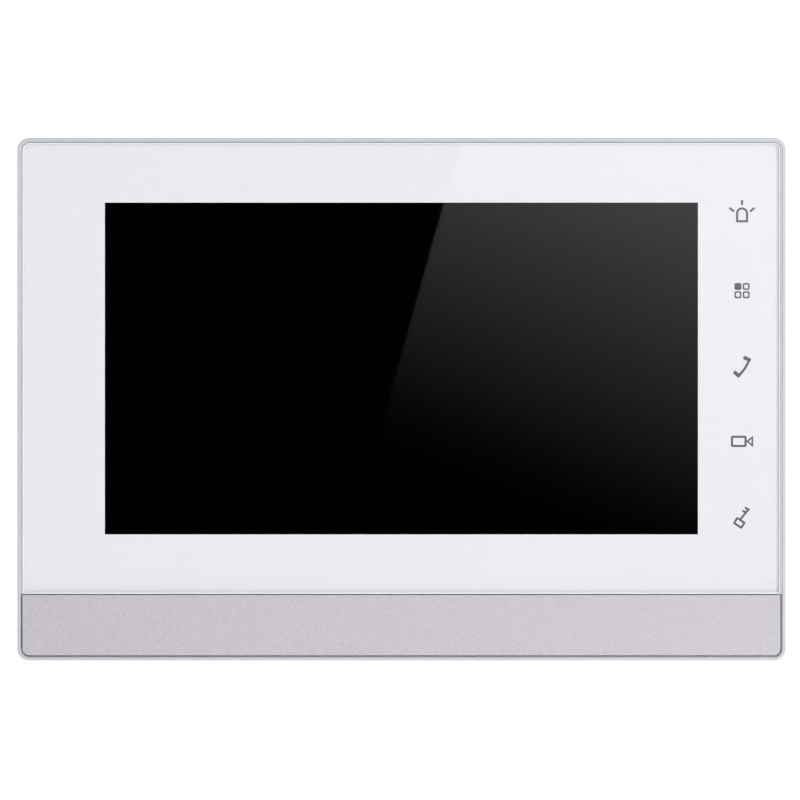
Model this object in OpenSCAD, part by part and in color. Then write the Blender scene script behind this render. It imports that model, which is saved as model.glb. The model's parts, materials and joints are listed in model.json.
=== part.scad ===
// Wall-mounted 7-inch video intercom monitor that hangs on a stamped steel bracket.
// X points right as seen from the front, Z points up and the front faces -Y.
// The wall is the plane y = 0 and the origin is the centre of the bracket's screw slots.

/* [Body] */
// Overall width
body_w = 200; // [190:1:260]
// Overall height
body_h = 136; // [132:1:180]
// Radius of the outline's corners
corner_r = 3; // [2:0.5:6]
// Side wall of the front frame
frame_wall = 2.2; // [1.8:0.1:2.6]
// Width of the frame's lip seen around the front
lip_w = 0.75; // [0.6:0.05:1.2]
// Gap between the lip and the glass or the trim bar
front_gap = 0.5; // [0.4:0.05:0.8]
// Step by which the rear cover is smaller than the frame on each side
reveal = 0.5; // [0.2:0.1:1]
// Wall of the rear cover
cover_wall = 2; // [1.6:0.1:2.4]
// Depth of the rear cover behind the parting line
cover_d = 13.2; // [12:0.1:15]
// Bevel along the rear cover's back edges
bevel = 4; // [3:0.5:5]
// Length of the tongue that centres the rear cover in the frame
tongue_l = 2; // [1.5:0.1:2.5]
// Gap between the rear cover and the wall
wall_gap = 0.8; // [0.5:0.1:1.5]

/* [Front] */
// Thickness of the cover glass
glass_t = 1.8; // [1.1:0.1:3]
// Corner radius of the glass and the trim bar
glass_r = 1.8; // [1:0.1:2.4]
// Seam between the glass and the trim bar
seam = 0.3; // [0.25:0.05:0.5]
// Depth of the groove between the lip and the glass
groove_d = 0.5; // [0.3:0.1:0.8]
// Height of the trim bar below the glass
bar_h = 15.75; // [12:0.25:20]
// Front wall of the trim bar
bar_wall = 1.6; // [1.2:0.1:2]
// Width of the clear display window in the print
window_w = 154.6; // [152:0.1:155]
// Height of the clear display window in the print
window_h = 86.5; // [84:0.1:87]
// Height of the display's centre above the body's centre
display_z = 8; // [6:0.5:8.5]
// Thickness of the frame's inner deck
deck_t = 2.1; // [1.8:0.1:3]

/* [Touch keys] */
// Distance from the body's right edge to the column of key symbols
key_inset = 11.2; // [10.5:0.1:11.5]
// Spacing of the key symbols
key_pitch = 19.8; // [16:0.1:20]
// Height of the middle symbol above the body's centre
key_z = 8.5; // [6:0.5:10]
// Line width of the key symbols
stroke = 0.56; // [0.4:0.02:0.6]

/* [Display module] */
// Outline width of the 7-inch module
lcd_w = 165; // [163:0.5:165]
// Outline height of the 7-inch module
lcd_h = 100; // [98:0.5:100]
// Thickness of the module
lcd_t = 3.5; // [3.2:0.1:5]

/* [Main board] */
// Width of the main board
board_w = 144; // [140:1:146]
// Height of the main board
board_h = 84; // [82:1:88]
// Thickness of the main board
board_t = 1.6; // [1.2:0.1:2]
// Length of the standoffs between chassis plate and board
standoff_h = 2; // [2:0.1:3]
// Thickness of the chassis plate
chassis_t = 1; // [0.8:0.1:1.5]

/* [Connectors] */
// Width of the network jack
jack_w = 16; // [15.5:0.1:16.5]
// Length of the network jack along its socket
jack_l = 16; // [15:0.5:17]
// Height of the network jack above the board
jack_h = 11.4; // [11:0.1:12]
// Pitch of the terminal blocks
pole_pitch = 3.5; // [3.5:0.01:3.6]
// Number of alarm terminals
alarm_poles = 8; // [6:1:8]
// Number of power terminals
power_poles = 2; // [2:1:2]
// Travel that frees a terminal plug from its header
plug_travel = 7; // [6.6:0.1:9]

/* [Wall bracket] */
// Width of the bracket
bracket_w = 118; // [112:1:124]
// Height of the bracket
bracket_h = 84; // [80:1:88]
// Sheet thickness of the bracket
bracket_t = 1.2; // [1:0.1:1.5]
// Distance between the two wall-box screw slots
box_pitch = 60.3; // [60:0.1:60.5]
// Distance from the bracket's edges to its corner screw holes
corner_margin = 8; // [6:0.5:9]
// Width of each hook
hook_w = 10; // [8:0.5:12]
// Height of each hook's upturned tip
hook_tip = 5; // [4:0.5:5.5]
// Lift that frees the monitor from the hooks
lift = 6; // [6:0.5:7]

/* [Hidden] */

// Colours
frame_colour = "#c9cdd2";
bar_colour = "#c9c6cb";
print_colour = "#eceef2";
symbol_colour = "#75757b";
cover_colour = "#e6e7e8";
board_colour = "#1f5b3c";
plastic_black = "#1d1e20";
terminal_green = "#2f8f4e";
steel_colour = "#b4b7ba";
screw_colour = "#8c8f92";
gold_colour = "#c9a544";

// Smoothness of round parts and the reach of cutting tools past a face
$fn = 48;
cut = 1;

// Clearances
slide_fit = 0.3;      // between a moving piece and its guide
part_fit = 0.15;      // between pieces that are assembled once
bar_fit = 0.35;       // between the trim bar and the frame
room = 0.5;           // between pieces that must not touch

// Depths from the wall to the glass face; every plane is worked out from the one behind it
back_y = -wall_gap;
parting_y = back_y - cover_d;
jack_back_y = -bracket_t - room;
board_back_y = jack_back_y - jack_h;
board_y = board_back_y - board_t;
chassis_back_y = board_y - standoff_h;
chassis_y = chassis_back_y - chassis_t;
lcd_y = chassis_y - lcd_t;
gasket_t = 0.5;
deck_back_y = lcd_y - gasket_t;
deck_y = deck_back_y - deck_t;
tape_t = 0.3;
print_t = 0.1;
print_back_y = deck_y - tape_t;
glass_back_y = print_back_y - print_t;
front_y = glass_back_y - glass_t;

// Front openings
pocket_w = body_w - 2 * lip_w;
pocket_h = body_h - 2 * lip_w;
glass_w = pocket_w - 2 * front_gap;
glass_top = pocket_h / 2 - front_gap;
bar_bottom = -glass_top;
bar_top = bar_bottom + bar_h;
glass_bottom = bar_top + seam;
glass_h = glass_top - glass_bottom;
glass_z = (glass_top + glass_bottom) / 2;
inner_w = body_w - 2 * frame_wall;
inner_h = body_h - 2 * frame_wall;
inner_r = max(corner_r - frame_wall, 0.5);
key_x = body_w / 2 - key_inset;
symbol_t = print_t / 2;

// Rear cover
cover_w = body_w - 2 * reveal;
cover_h = body_h - 2 * reveal;
cover_in_y = back_y - cover_wall;
inner_bevel = bevel - cover_wall * (2 - sqrt(2));
tongue_wall = 1.2;
tongue_root = 1;

// Touch sensor behind the print
sensor_w = lcd_w - 0.5;
sensor_h = lcd_h - 0.5;
sensor_t = 0.5;
sensor_y = print_back_y;
sensor_pocket = 0.7;
flex_t = 0.3;
flex_drop = 1.4;
tail_slot_h = 3.2;
tail_slot_z = display_z - sensor_h / 2 - tail_slot_h / 2;

// Touch key board behind the column of symbols
key_guide_w = 8.5;
key_span = 4 * key_pitch;
key_guide_h = key_span + 12;
key_board_t = 1;
key_board_w = 13.6;
key_board_h = key_guide_h + 3;
key_board_x = inner_w / 2 - 1 - key_board_w / 2;
key_led_t = 0.8;

// Layers of the display module
bezel_t = 0.3;
panel_t = 1.2;
tray_floor = 0.5;
guide_t = lcd_t - bezel_t - panel_t - tray_floor;
panel_y = lcd_y + bezel_t;
guide_y = panel_y + panel_t;
tray_w = lcd_w - 2 * bezel_t - 2 * part_fit;
tray_h = lcd_h - 2 * bezel_t - 2 * part_fit;
tray_wall = 1.2;
led_bar = 1.4;

// Chassis plate, its ears and its posts on the deck
chassis_w = lcd_w + 3;
chassis_h = lcd_h + 2;
ear_x = 74;
ear_z = lcd_h / 2 + 4;
ear_r = 3.2;
post_r = 2.6;

// Main board
board_z = display_z;
board_left = -board_w / 2;
board_bottom = board_z - board_h / 2;
board_hole_x = board_w / 2 - 3.5;
board_hole_z = board_h / 2 - 3.5;
board_fixings = [[-1, -1], [1, -1], [-1, 1], [0, 1], [1, 1]];

// Flex cables: x of each one's centre, and its width
lcd_flex_x = 52;
lcd_flex_w = 22;
touch_flex_x = -46;
touch_flex_w = 10;
key_flex_z = 26;
key_flex_w = 8;
socket_l = 4;
socket_h = 2;
flex_back_y = board_back_y + socket_h / 2;

// Cable well in the rear cover and the row of connectors in it
well_w = 64;
well_top = 20;
well_bottom = -34;
well_wall = 1.5;
well_floor = 1;
well_y = board_back_y + room + well_floor;
mouth_z = 2;
connector_gap = 3;
header_l = 9;
header_h = 7.2;
header_wall = 0.8;
alarm_w = alarm_poles * pole_pitch + 1;
power_w = power_poles * pole_pitch + 1;
row_w = jack_w + alarm_w + power_w + 2 * connector_gap;
jack_x = -row_w / 2 + jack_w / 2;
alarm_x = jack_x + jack_w / 2 + connector_gap + alarm_w / 2;
power_x = alarm_x + alarm_w / 2 + connector_gap + power_w / 2;
header_foot = room + well_floor;
header_in_h = header_h - header_foot - header_wall;
header_y = board_back_y + header_foot + header_in_h / 2;
pin_t = 1;
pin_l = 6;
plug_in = plug_travel - 0.8;
plug_l = 9.5;
plug_h = header_h + 1.6;
socket_w = 11.9;
socket_t = 6.8;
socket_d = 13;

// Reset key above the power header
reset_x = power_x;
reset_z = mouth_z + header_l + 5;
reset_w = 6;
reset_h = 3.5;
plunger_r = 1.75;
plunger_out = 1.3;
plunger_travel = 0.25;

// Recess for the bracket, and its hooks
recess_d = 3.8;
recess_room = 2;
recess_y = back_y - recess_d;
recess_in_y = recess_y - cover_wall;
recess_w = bracket_w + 2 * recess_room;
recess_top = bracket_h / 2 + 1;
recess_bottom = -bracket_h / 2 - lift - 1;
hook_x = bracket_w / 2 - 18;
hook_rows = [bracket_h / 2 - 14, 18 - bracket_h / 2];
hook_play = 0.1;
hook_y = recess_in_y - slide_fit - bracket_t;
slot_room = 0.8;
flange_d = 2.2;

// Cable window of the bracket
window_x = 42;
window_l = well_top - well_bottom - 4;
window_z = (well_top + well_bottom) / 2 + 2;

// Flanges, hook windows and screw holes of the bracket
flange_end = 6;
hook_window_h = 7;
wall_hole_r = 2.25;
wall_slot_l = 10;

// Screws
case_screw_x = body_w / 2 - 8;
case_screw_z = body_h / 2 - 8.2;
case_mid_x = 18;
case_spots = [
    [-case_screw_x, case_screw_z], [case_screw_x, case_screw_z],
    [-case_screw_x, -case_screw_z], [case_screw_x, -case_screw_z],
    [-case_mid_x, -case_screw_z], [case_mid_x, -case_screw_z]
];
boss_r = 3.2;
boss_y = parting_y - 1.2;
case_thread_r = 1.5;
case_head_r = 2.8;
case_head_h = 2;
case_seat_y = back_y - 6;
case_reach = 6;
small_thread_r = 1.25;
small_head_r = 2.3;
small_head_h = 1.4;

// Speaker in the left part of the case, facing the wall
speaker_w = 18;
speaker_l = 36;
speaker_x = -cover_w / 2 + cover_wall + inner_bevel + part_fit + speaker_w / 2;
speaker_z = display_z - 36;
speaker_gasket_t = 0.8;
speaker_d = 5;
magnet_t = 2.5;
magnet_r = 7;
speaker_y = cover_in_y - speaker_gasket_t;
lead_r = 0.6;
lead_gap = 1.5;

// Microphone in the bottom wall, between the cover's tongue and its bevel
mic_x = 37;
boot_r = (cover_in_y - inner_bevel - parting_y - tongue_root) / 2 - 2 * part_fit;
boot_wall = 0.6;
mic_y = parting_y + tongue_root + boot_r + part_fit;
mic_floor = -cover_h / 2 + cover_wall;
mic_r = boot_r - boot_wall;
mic_l = 2.7;
boot_l = 6;

// ---------- Shapes used by several parts ----------

// Extrudes an outline drawn in X and Z from depth y0 back to y1
module slab(y0, y1) translate([0, y1, 0]) rotate([90, 0, 0]) linear_extrude(y1 - y0) children();

// Extrudes an outline drawn in Y and Z from x0 to x1
module run_x(x0, x1) translate([x0, 0, 0]) rotate([90, 0, 90]) linear_extrude(x1 - x0) children();

// Extrudes an outline drawn in X and Y from z0 up to z1
module run_z(z0, z1) translate([0, 0, z0]) linear_extrude(z1 - z0) children();

// A rectangle with round corners
module round_rect(w, h, r) {
    square([w - 2 * r, h], center = true);
    square([w, h - 2 * r], center = true);
    for (x = [-1, 1], z = [-1, 1]) {
        translate([x * (w / 2 - r), z * (h / 2 - r)]) circle(r = r);
    }
}

// A rectangular ring
module ring(w_out, h_out, w_in, h_in) {
    difference() {
        square([w_out, h_out], center = true);
        square([w_in, h_in], center = true);
    }
}

// A box given by its middle in X and Z, its size and its two depths
module block(x, z, w, h, y0, y1) slab(y0, y1) translate([x, z]) square([w, h], center = true);

// A round bar or bore along Y
module rod(x, z, r, y0, y1) slab(y0, y1) translate([x, z]) circle(r = r);

// A box with a round outline whose back edges are bevelled
module bevelled_box(w, h, r, y0, y1, b) {
    intersection() {
        slab(y0, y1) round_rect(w, h, r);
        run_z(-h, h) bevel_outline(w, y0, y1, b);
        rotate([0, 90, 0]) run_z(-w, w) bevel_outline(h, y0, y1, b);
    }
}

module bevel_outline(w, y0, y1, b) {
    polygon([
        [-w / 2, y0], [w / 2, y0], [w / 2, y1 - b],
        [w / 2 - b, y1], [b - w / 2, y1], [-w / 2, y1 - b]
    ]);
}

// A pan-head screw along Y whose head sits at seat_y and whose shank runs forwards
module screw(x, z, head_r, head_h, thread_r, seat_y, length) {
    difference() {
        union() {
            rod(x, z, head_r, seat_y, seat_y + head_h);
            rod(x, z, thread_r, seat_y - length, seat_y);
        }
        cross_recess(x, z, head_r, seat_y + head_h);
    }
}

// The cross recess in a screw head
module cross_recess(x, z, head_r, face_y) {
    for (turn = [0, 90]) {
        translate([x, face_y, z]) rotate([0, turn, 0])
            cube([head_r * 1.2, head_r * 0.7, head_r * 0.28], center = true);
    }
}

// ---------- Wall bracket ----------

module wall_bracket() {
    color(steel_colour) difference() {
        union() {
            slab(-bracket_t, 0) round_rect(bracket_w, bracket_h, 4);
            for (z = [-1, 1]) {
                block(0, z * (bracket_h - bracket_t) / 2, bracket_w - 2 * flange_end, bracket_t,
                    -bracket_t - flange_d, 0);
            }
            for (x = [-1, 1], z = hook_rows) hook(x * hook_x, z);
        }
        // window for the cables
        slab(-bracket_t - cut, cut) translate([0, window_z]) round_rect(window_x, window_l, 3);
        // slots for the screws of a wall box
        for (x = [-1, 1]) {
            slab(-bracket_t - cut, cut) translate([x * box_pitch / 2, 0])
                rotate(90) race(2 * wall_hole_r, wall_slot_l);
        }
        // round holes near the corners
        for (x = [-1, 1], z = [-1, 1]) {
            rod(x * (bracket_w / 2 - corner_margin), z * (bracket_h / 2 - corner_margin), wall_hole_r,
                -bracket_t - cut, cut);
        }
        // windows that the hooks were cut from
        for (x = [-1, 1], z = hook_rows) {
            block(x * hook_x, z + (bracket_t + hook_window_h) / 2, hook_w + 1, hook_window_h,
                -bracket_t - cut, cut);
        }
    }
}

// A hook bent out of the sheet, with its seat at height z
module hook(x, z) {
    block(x, z - bracket_t / 2, hook_w, bracket_t, hook_y, 0);
    block(x, z + (hook_tip - bracket_t) / 2, hook_w, hook_tip + bracket_t, hook_y, hook_y + bracket_t);
}

// ---------- Front ----------

module front_frame() {
    color(frame_colour) difference() {
        union() {
            difference() {
                slab(front_y, parting_y) round_rect(body_w, body_h, corner_r);
                // groove inside the lip, and the deeper seats of the glass and the trim bar
                slab(front_y - cut, front_y + groove_d) round_rect(pocket_w, pocket_h, corner_r - lip_w);
                slab(front_y - cut, deck_y) {
                    translate([0, glass_z])
                        glass_outline(glass_w + 2 * part_fit, glass_h + 2 * part_fit, glass_r + part_fit);
                    bar_outline(bar_fit);
                }
                slab(deck_back_y, parting_y + cut) round_rect(inner_w, inner_h, inner_r);
            }
            for (p = case_spots) rod(p[0], p[1], boss_r, deck_back_y - cut, boss_y);
            for (x = [-1, 1], z = [-1, 1]) {
                rod(x * ear_x, display_z + z * ear_z, post_r, deck_back_y - cut, chassis_y);
            }
        }
        // window over the display, with a pocket for the touch sensor in front of it
        block(0, display_z, window_w + 3, window_h + 3, deck_y - cut, deck_back_y + cut);
        block(0, display_z, sensor_w + 0.8, sensor_h + 0.8, deck_y - cut, deck_y + sensor_pocket);
        // slot for the touch sensor's tail
        block(touch_flex_x, tail_slot_z, touch_flex_w + 2, tail_slot_h, deck_y - cut, deck_back_y + cut);
        // window for the light guide of the touch keys
        block(key_x, key_z, key_guide_w + 2 * part_fit, key_guide_h + 2 * part_fit,
            deck_y - cut, deck_back_y + cut);
        // slots for the clips of the trim bar
        for (x = clip_spots) block(x, clip_z, clip_w + 1, 3, deck_y - cut, deck_back_y + cut);
        // bores for the self-tapping screws
        for (p = case_spots) rod(p[0], p[1], case_thread_r, boss_y - case_reach - cut, boss_y + cut);
        for (x = [-1, 1], z = [-1, 1]) {
            rod(x * ear_x, display_z + z * ear_z, small_thread_r, chassis_y - 4, chassis_y + cut);
        }
    }
}

// The trim bar's clips, and the ribs of its hollow back
clip_w = 7;
clip_z = (bar_top + bar_bottom) / 2;
clip_spots = [for (i = [-2, -1, 1, 2]) i * body_w / 5];
clip_l = 3.6;
bar_bays = 7;
bar_bay_w = (glass_w - 2 * bar_wall) / bar_bays;
bar_rib = 1.5;

module trim_bar() {
    color(bar_colour) {
        difference() {
            union() {
                slab(front_y, deck_y) bar_outline();
                for (x = clip_spots) clip(x);
            }
            // hollow back, leaving ribs between the clips
            for (i = [0:bar_bays - 1]) {
                block((i - (bar_bays - 1) / 2) * bar_bay_w, clip_z, bar_bay_w - bar_rib, bar_h - 2 * bar_wall,
                    front_y + bar_wall, deck_y + cut);
            }
        }
    }
}

// Square at the top, round at the two bottom corners
module bar_outline(grow = 0) {
    w = glass_w + 2 * grow;
    h = bar_h + 2 * grow;
    translate([0, clip_z]) round_rect(w, h, glass_r + grow);
    translate([0, clip_z + h / 4]) square([w, h / 2], center = true);
}

// A barbed clip that passes through the deck
module clip(x) {
    run_x(x - clip_w / 2, x + clip_w / 2) polygon([
        [front_y + bar_wall / 2, clip_z - 0.6], [deck_back_y + clip_l, clip_z - 0.6],
        [deck_back_y + clip_l, clip_z + 0.6], [deck_back_y + part_fit, clip_z + 1.3],
        [deck_back_y + part_fit, clip_z + 0.6], [front_y + bar_wall / 2, clip_z + 0.6]
    ]);
}

module glass_outline(w, h, r) {
    round_rect(w, h, r);
    translate([0, -h / 4]) square([w, h / 2], center = true);
}

module cover_glass() {
    color(print_colour, 0.35) slab(front_y, glass_back_y)
        translate([0, glass_z]) glass_outline(glass_w, glass_h, glass_r);
}

// Ink on the back of the glass, open over the display, with the symbols let into it
module glass_print() {
    color(print_colour) difference() {
        slab(glass_back_y, print_back_y) translate([0, glass_z]) glass_outline(glass_w, glass_h, glass_r);
        block(0, display_z, window_w, window_h, glass_back_y - cut, print_back_y + cut);
        slab(glass_back_y - cut, glass_back_y + symbol_t) symbols();
    }
}

module key_symbols() {
    color(symbol_colour) slab(glass_back_y, glass_back_y + symbol_t) symbols();
}

// The five symbols, from the top: alarm, menu, call, camera and unlock
module symbols() {
    translate([key_x, key_z + 2 * key_pitch]) alarm_symbol();
    translate([key_x, key_z + key_pitch]) menu_symbol();
    translate([key_x, key_z]) call_symbol();
    translate([key_x, key_z - key_pitch]) camera_symbol();
    translate([key_x, key_z - 2 * key_pitch]) unlock_symbol();
}

// A stroke from a to b with square ends
module line(a, b, width = stroke) {
    run = b - a;
    translate((a + b) / 2) rotate(atan2(run[1], run[0])) square([norm(run), width], center = true);
}

module alarm_symbol() {
    lamp_w = 3.15;
    lamp_h = 3.9;
    difference() {
        lamp_outline(lamp_w, lamp_h);
        translate([0, stroke]) lamp_outline(lamp_w - 2 * stroke, lamp_h - 2 * stroke);
    }
    line([0, 2.5], [0, 3.8]);
    for (side = [-1, 1]) line([side * 2.1, 0.8], [side * 3.25, 1.8]);
}

// A dome on a flat foot, with its foot at height -2
module lamp_outline(w, h) {
    translate([0, h - 2 - w / 2]) circle(r = w / 2);
    translate([0, (h - w / 2) / 2 - 2]) square([w, h - w / 2], center = true);
}

module menu_symbol() {
    tile = 1.83;
    step = (tile + 0.32) / 2;
    for (x = [-1, 1], z = [-1, 1]) translate([x * step, z * step]) difference() {
        round_rect(tile, tile, 0.45);
        if (x > 0 || z < 0) round_rect(tile - 0.84, tile - 0.84, 0.1);
    }
}

// A handset that leans to the right
module call_symbol() {
    rotate(-34) {
        intersection() {
            translate([-8.2, 0]) difference() {
                circle(r = 9.4, $fn = 96);
                circle(r = 9.4 - 1.15 * stroke, $fn = 96);
            }
            square([4, 5], center = true);
        }
        for (side = [-1, 1]) {
            translate([-0.02, side * 2.4]) rotate(side * 8) square([2.05, 0.95], center = true);
        }
    }
}

module camera_symbol() {
    translate([-0.86, 0.3]) difference() {
        round_rect(4.1, 2.95, 0.4);
        square([4.1 - 2 * stroke, 2.95 - 2 * stroke], center = true);
    }
    translate([2.1, 0.3]) difference() {
        polygon([[-1.1, 0], [0.8, 1.48], [0.8, -1.48]]);
        polygon([[-0.42, 0], [0.38, 0.62], [0.38, -0.62]]);
    }
}

// A key whose shaft points up to the right, with two teeth
module unlock_symbol() {
    translate([-0.73, -1.15]) rotate(-33) difference() {
        round_rect(2.8, 2.1, 0.4);
        square([2.8 - 2 * stroke, 2.1 - 2 * stroke], center = true);
    }
    line([-0.35, -0.15], [1.85, 2.6]);
    for (root = [[0.95, 1.48], [1.6, 2.29]]) line(root, root + [-0.8, 0.62]);
}

module glass_tape() {
    color(plastic_black) difference() {
        slab(print_back_y, deck_y) translate([0, glass_z]) square([glass_w - 2, glass_h - 2], center = true);
        block(0, display_z, sensor_w + 1.6, sensor_h + 1.6, print_back_y - cut, deck_y + cut);
        block(key_x, key_z, key_guide_w + 1, key_guide_h + 1, print_back_y - cut, deck_y + cut);
        block(touch_flex_x, tail_slot_z, touch_flex_w + 3, tail_slot_h, print_back_y - cut, deck_y + cut);
    }
}

module touch_sensor() {
    color("#9fb4bd", 0.4) block(0, display_z, sensor_w, sensor_h, sensor_y, sensor_y + sensor_t);
}

// A flex tail that leaves an edge downwards, turns back past the board's edge and enters a socket
module tail(x, w, y0, z0) {
    turn_z = z0 - flex_drop;
    in_z = board_bottom + 1;
    run_x(x - w / 2, x + w / 2) polygon([
        [y0, z0], [y0, turn_z - flex_t], [flex_back_y + flex_t, turn_z - flex_t], [flex_back_y + flex_t, in_z],
        [flex_back_y, in_z], [flex_back_y, turn_z], [y0 + flex_t, turn_z], [y0 + flex_t, z0]
    ]);
}

module touch_flex() {
    color("#b9772c") tail(touch_flex_x, touch_flex_w, sensor_y + part_fit, display_z - sensor_h / 2);
}

module lcd_flex() {
    color("#b9772c") tail(lcd_flex_x, lcd_flex_w, guide_y, display_z - lcd_h / 2);
}

// ---------- Touch keys ----------

module key_light_guide() {
    color("#e9f0f2", 0.7) difference() {
        block(key_x, key_z, key_guide_w, key_guide_h, print_back_y, deck_back_y);
        for (i = [-2:2]) {
            block(key_x, key_z + i * key_pitch, 3, 2.4, deck_back_y - key_led_t - part_fit, deck_back_y + cut);
        }
    }
}

module key_board() {
    color(board_colour)
        block(key_board_x, key_z, key_board_w, key_board_h, deck_back_y, deck_back_y + key_board_t);
}

module key_leds() {
    color("#f3efc9") for (i = [-2:2]) {
        block(key_x, key_z + i * key_pitch, 2, 1.4, deck_back_y - key_led_t, deck_back_y);
    }
}

// A flat cable from the key board, round the chassis plate and into the main board's right edge
module key_flex() {
    start_y = deck_back_y + key_board_t + socket_h;
    out_x = key_board_x;
    in_x = board_w / 2 - 2;
    color("#e8e8e4") run_z(key_flex_z - key_flex_w / 2, key_flex_z + key_flex_w / 2) polygon([
        [out_x, start_y], [out_x + flex_t, start_y], [out_x + flex_t, flex_back_y + flex_t],
        [in_x, flex_back_y + flex_t], [in_x, flex_back_y], [out_x, flex_back_y]
    ]);
}

// ---------- Display module ----------

module lcd_gasket() {
    color(plastic_black) slab(deck_back_y, lcd_y) translate([0, display_z])
        ring(lcd_w - 1, lcd_h - 1, window_w + 3.6, window_h + 3.6);
}

module lcd_bezel() {
    color(steel_colour) difference() {
        block(0, display_z, lcd_w, lcd_h, lcd_y, chassis_y);
        block(0, display_z, window_w + 2, window_h + 2, lcd_y - cut, panel_y + cut);
        block(0, display_z, lcd_w - 2 * bezel_t, lcd_h - 2 * bezel_t, panel_y, chassis_y + cut);
    }
}

module lcd_panel() {
    color("#0b0c0e") block(0, display_z, tray_w, tray_h, panel_y, guide_y);
}

module backlight_guide() {
    color("#dfeaf0") block(0, display_z + led_bar / 2, tray_w - 2 * tray_wall - 2 * part_fit,
        tray_h - 2 * tray_wall - 2 * part_fit - led_bar, guide_y, guide_y + guide_t);
}

module backlight_leds() {
    strip_z = display_z - tray_h / 2 + tray_wall + part_fit + led_bar / 2 - part_fit / 2;
    color("#f3efc9")
        block(0, strip_z, tray_w - 2 * tray_wall - 8, led_bar - part_fit, guide_y, guide_y + guide_t);
}

module lcd_tray() {
    color("#f2f2ee") difference() {
        block(0, display_z, tray_w, tray_h, guide_y, chassis_y);
        block(0, display_z, tray_w - 2 * tray_wall, tray_h - 2 * tray_wall, guide_y - cut, guide_y + guide_t);
    }
}

// ---------- Chassis plate ----------

module chassis_plate() {
    color(steel_colour) difference() {
        slab(chassis_y, chassis_back_y) {
            translate([0, display_z]) square([chassis_w, chassis_h], center = true);
            for (x = [-1, 1], z = [-1, 1]) translate([x * ear_x, display_z + z * ear_z]) ear(z);
        }
        for (x = [-1, 1], z = [-1, 1]) {
            rod(x * ear_x, display_z + z * ear_z, small_thread_r + part_fit,
                chassis_y - cut, chassis_back_y + cut);
        }
        // notches for the two tails that turn round the bottom edge
        for (tail_at = [[lcd_flex_x, lcd_flex_w], [touch_flex_x, touch_flex_w]]) {
            block(tail_at[0], display_z - chassis_h / 2, tail_at[1] + 4, 8,
                chassis_y - cut, chassis_back_y + cut);
        }
    }
}

// A round ear joined to the plate's edge
module ear(side) {
    circle(r = ear_r);
    translate([0, -side * ear_r]) square([2 * ear_r, 2 * ear_r], center = true);
}

module chassis_screws() {
    color(screw_colour) for (x = [-1, 1], z = [-1, 1]) {
        screw(x * ear_x, display_z + z * ear_z, small_head_r, small_head_h, small_thread_r,
            chassis_back_y, 4.5);
    }
}

// Places something at each of the main board's fixing points
module at_board_holes() {
    for (f = board_fixings) translate([f[0] * board_hole_x, 0, board_z + f[1] * board_hole_z]) children();
}

module board_standoffs() {
    color(gold_colour) at_board_holes() difference() {
        rod(0, 0, 2.6, chassis_back_y, board_y);
        rod(0, 0, small_thread_r, chassis_back_y + 0.4, board_y + cut);
    }
}

// ---------- Main board ----------

module main_board() {
    color(board_colour) difference() {
        block(0, board_z, board_w, board_h, board_y, board_back_y);
        at_board_holes() rod(0, 0, small_thread_r + part_fit, board_y - cut, board_back_y + cut);
    }
}

module board_screws() {
    color(screw_colour) at_board_holes()
        screw(0, 0, small_head_r, small_head_h, small_thread_r, board_back_y, 3);
}

// Chips on the front of the board; the pad carries the processor's heat into the chassis plate
processor_x = 22;
processor_z = board_z + 16;
processor_w = 14;
processor_t = 1.2;

module processor() {
    color(plastic_black)
        block(processor_x, processor_z, processor_w, processor_w, board_y - processor_t, board_y);
}

module heat_pad() {
    color("#7f9db8")
        block(processor_x, processor_z, processor_w, processor_w, chassis_back_y, board_y - processor_t);
}

module memory_chips() {
    color(plastic_black) for (i = [0, 1]) {
        block(processor_x - 17, processor_z + 7 - 14 * i, 9, 12, board_y - 1, board_y);
    }
}

module network_transformer() {
    color(plastic_black) block(jack_x, mouth_z + jack_l + 9, 12.7, 7, board_back_y, board_back_y + 5.2);
}

module power_inductors() {
    color("#3a3a3c") for (i = [0, 1]) {
        block(power_x - 16 + 10 * i, board_z + 30, 7, 7, board_back_y, board_back_y + 3.5);
    }
}

// Capacitors that stay below the bracket's hooks
module capacitors() {
    color("#c3c6c8") for (i = [0:2]) {
        rod(board_w / 2 - 16, board_z + 33 - 8 * i, 3.15, board_back_y, hook_y - room);
    }
}

module audio_amplifier() {
    color(plastic_black) block(board_left + 14, board_z - 22, 5, 6, board_back_y, board_back_y + 1.2);
}

cell_r = 10;
cell_t = 3.2;
cell_x = board_left + 14;
cell_z = board_z + 26;

module coin_cell() {
    color("#d0d2d3") rod(cell_x, cell_z, cell_r, board_back_y + 0.6, board_back_y + 0.6 + cell_t);
}

module cell_holder() {
    color(plastic_black) difference() {
        union() {
            rod(cell_x, cell_z, cell_r + 1.3, board_back_y, board_back_y + 3);
            block(cell_x, cell_z, 8, 2 * cell_r + 4, board_back_y, board_back_y + 3);
        }
        rod(cell_x, cell_z, cell_r + part_fit, board_back_y + 0.6, board_back_y + 4);
    }
}

// Sockets for the flat cables and the two pairs of leads
module board_sockets() {
    edge_z = board_bottom + 1 + socket_l / 2;
    color("#e3ded2") {
        for (tail_at = [[lcd_flex_x, lcd_flex_w], [touch_flex_x, touch_flex_w]]) {
            block(tail_at[0], edge_z, tail_at[1] + 3, socket_l,
                board_back_y, board_back_y + socket_h - part_fit);
        }
        block(board_w / 2 - 2 - socket_l / 2, key_flex_z, socket_l, key_flex_w + 3, board_back_y, flex_back_y);
        block(key_board_x, key_flex_z, socket_l, key_flex_w + 3,
            deck_back_y + key_board_t, deck_back_y + key_board_t + socket_h);
        block(mic_x, edge_z, 4.4, socket_l, board_back_y, mic_y + 1);
        block(board_left + 4.5, lead_z, 5, 5, board_back_y, recess_in_y - room);
    }
}

// ---------- Connectors in the cable well ----------

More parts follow.
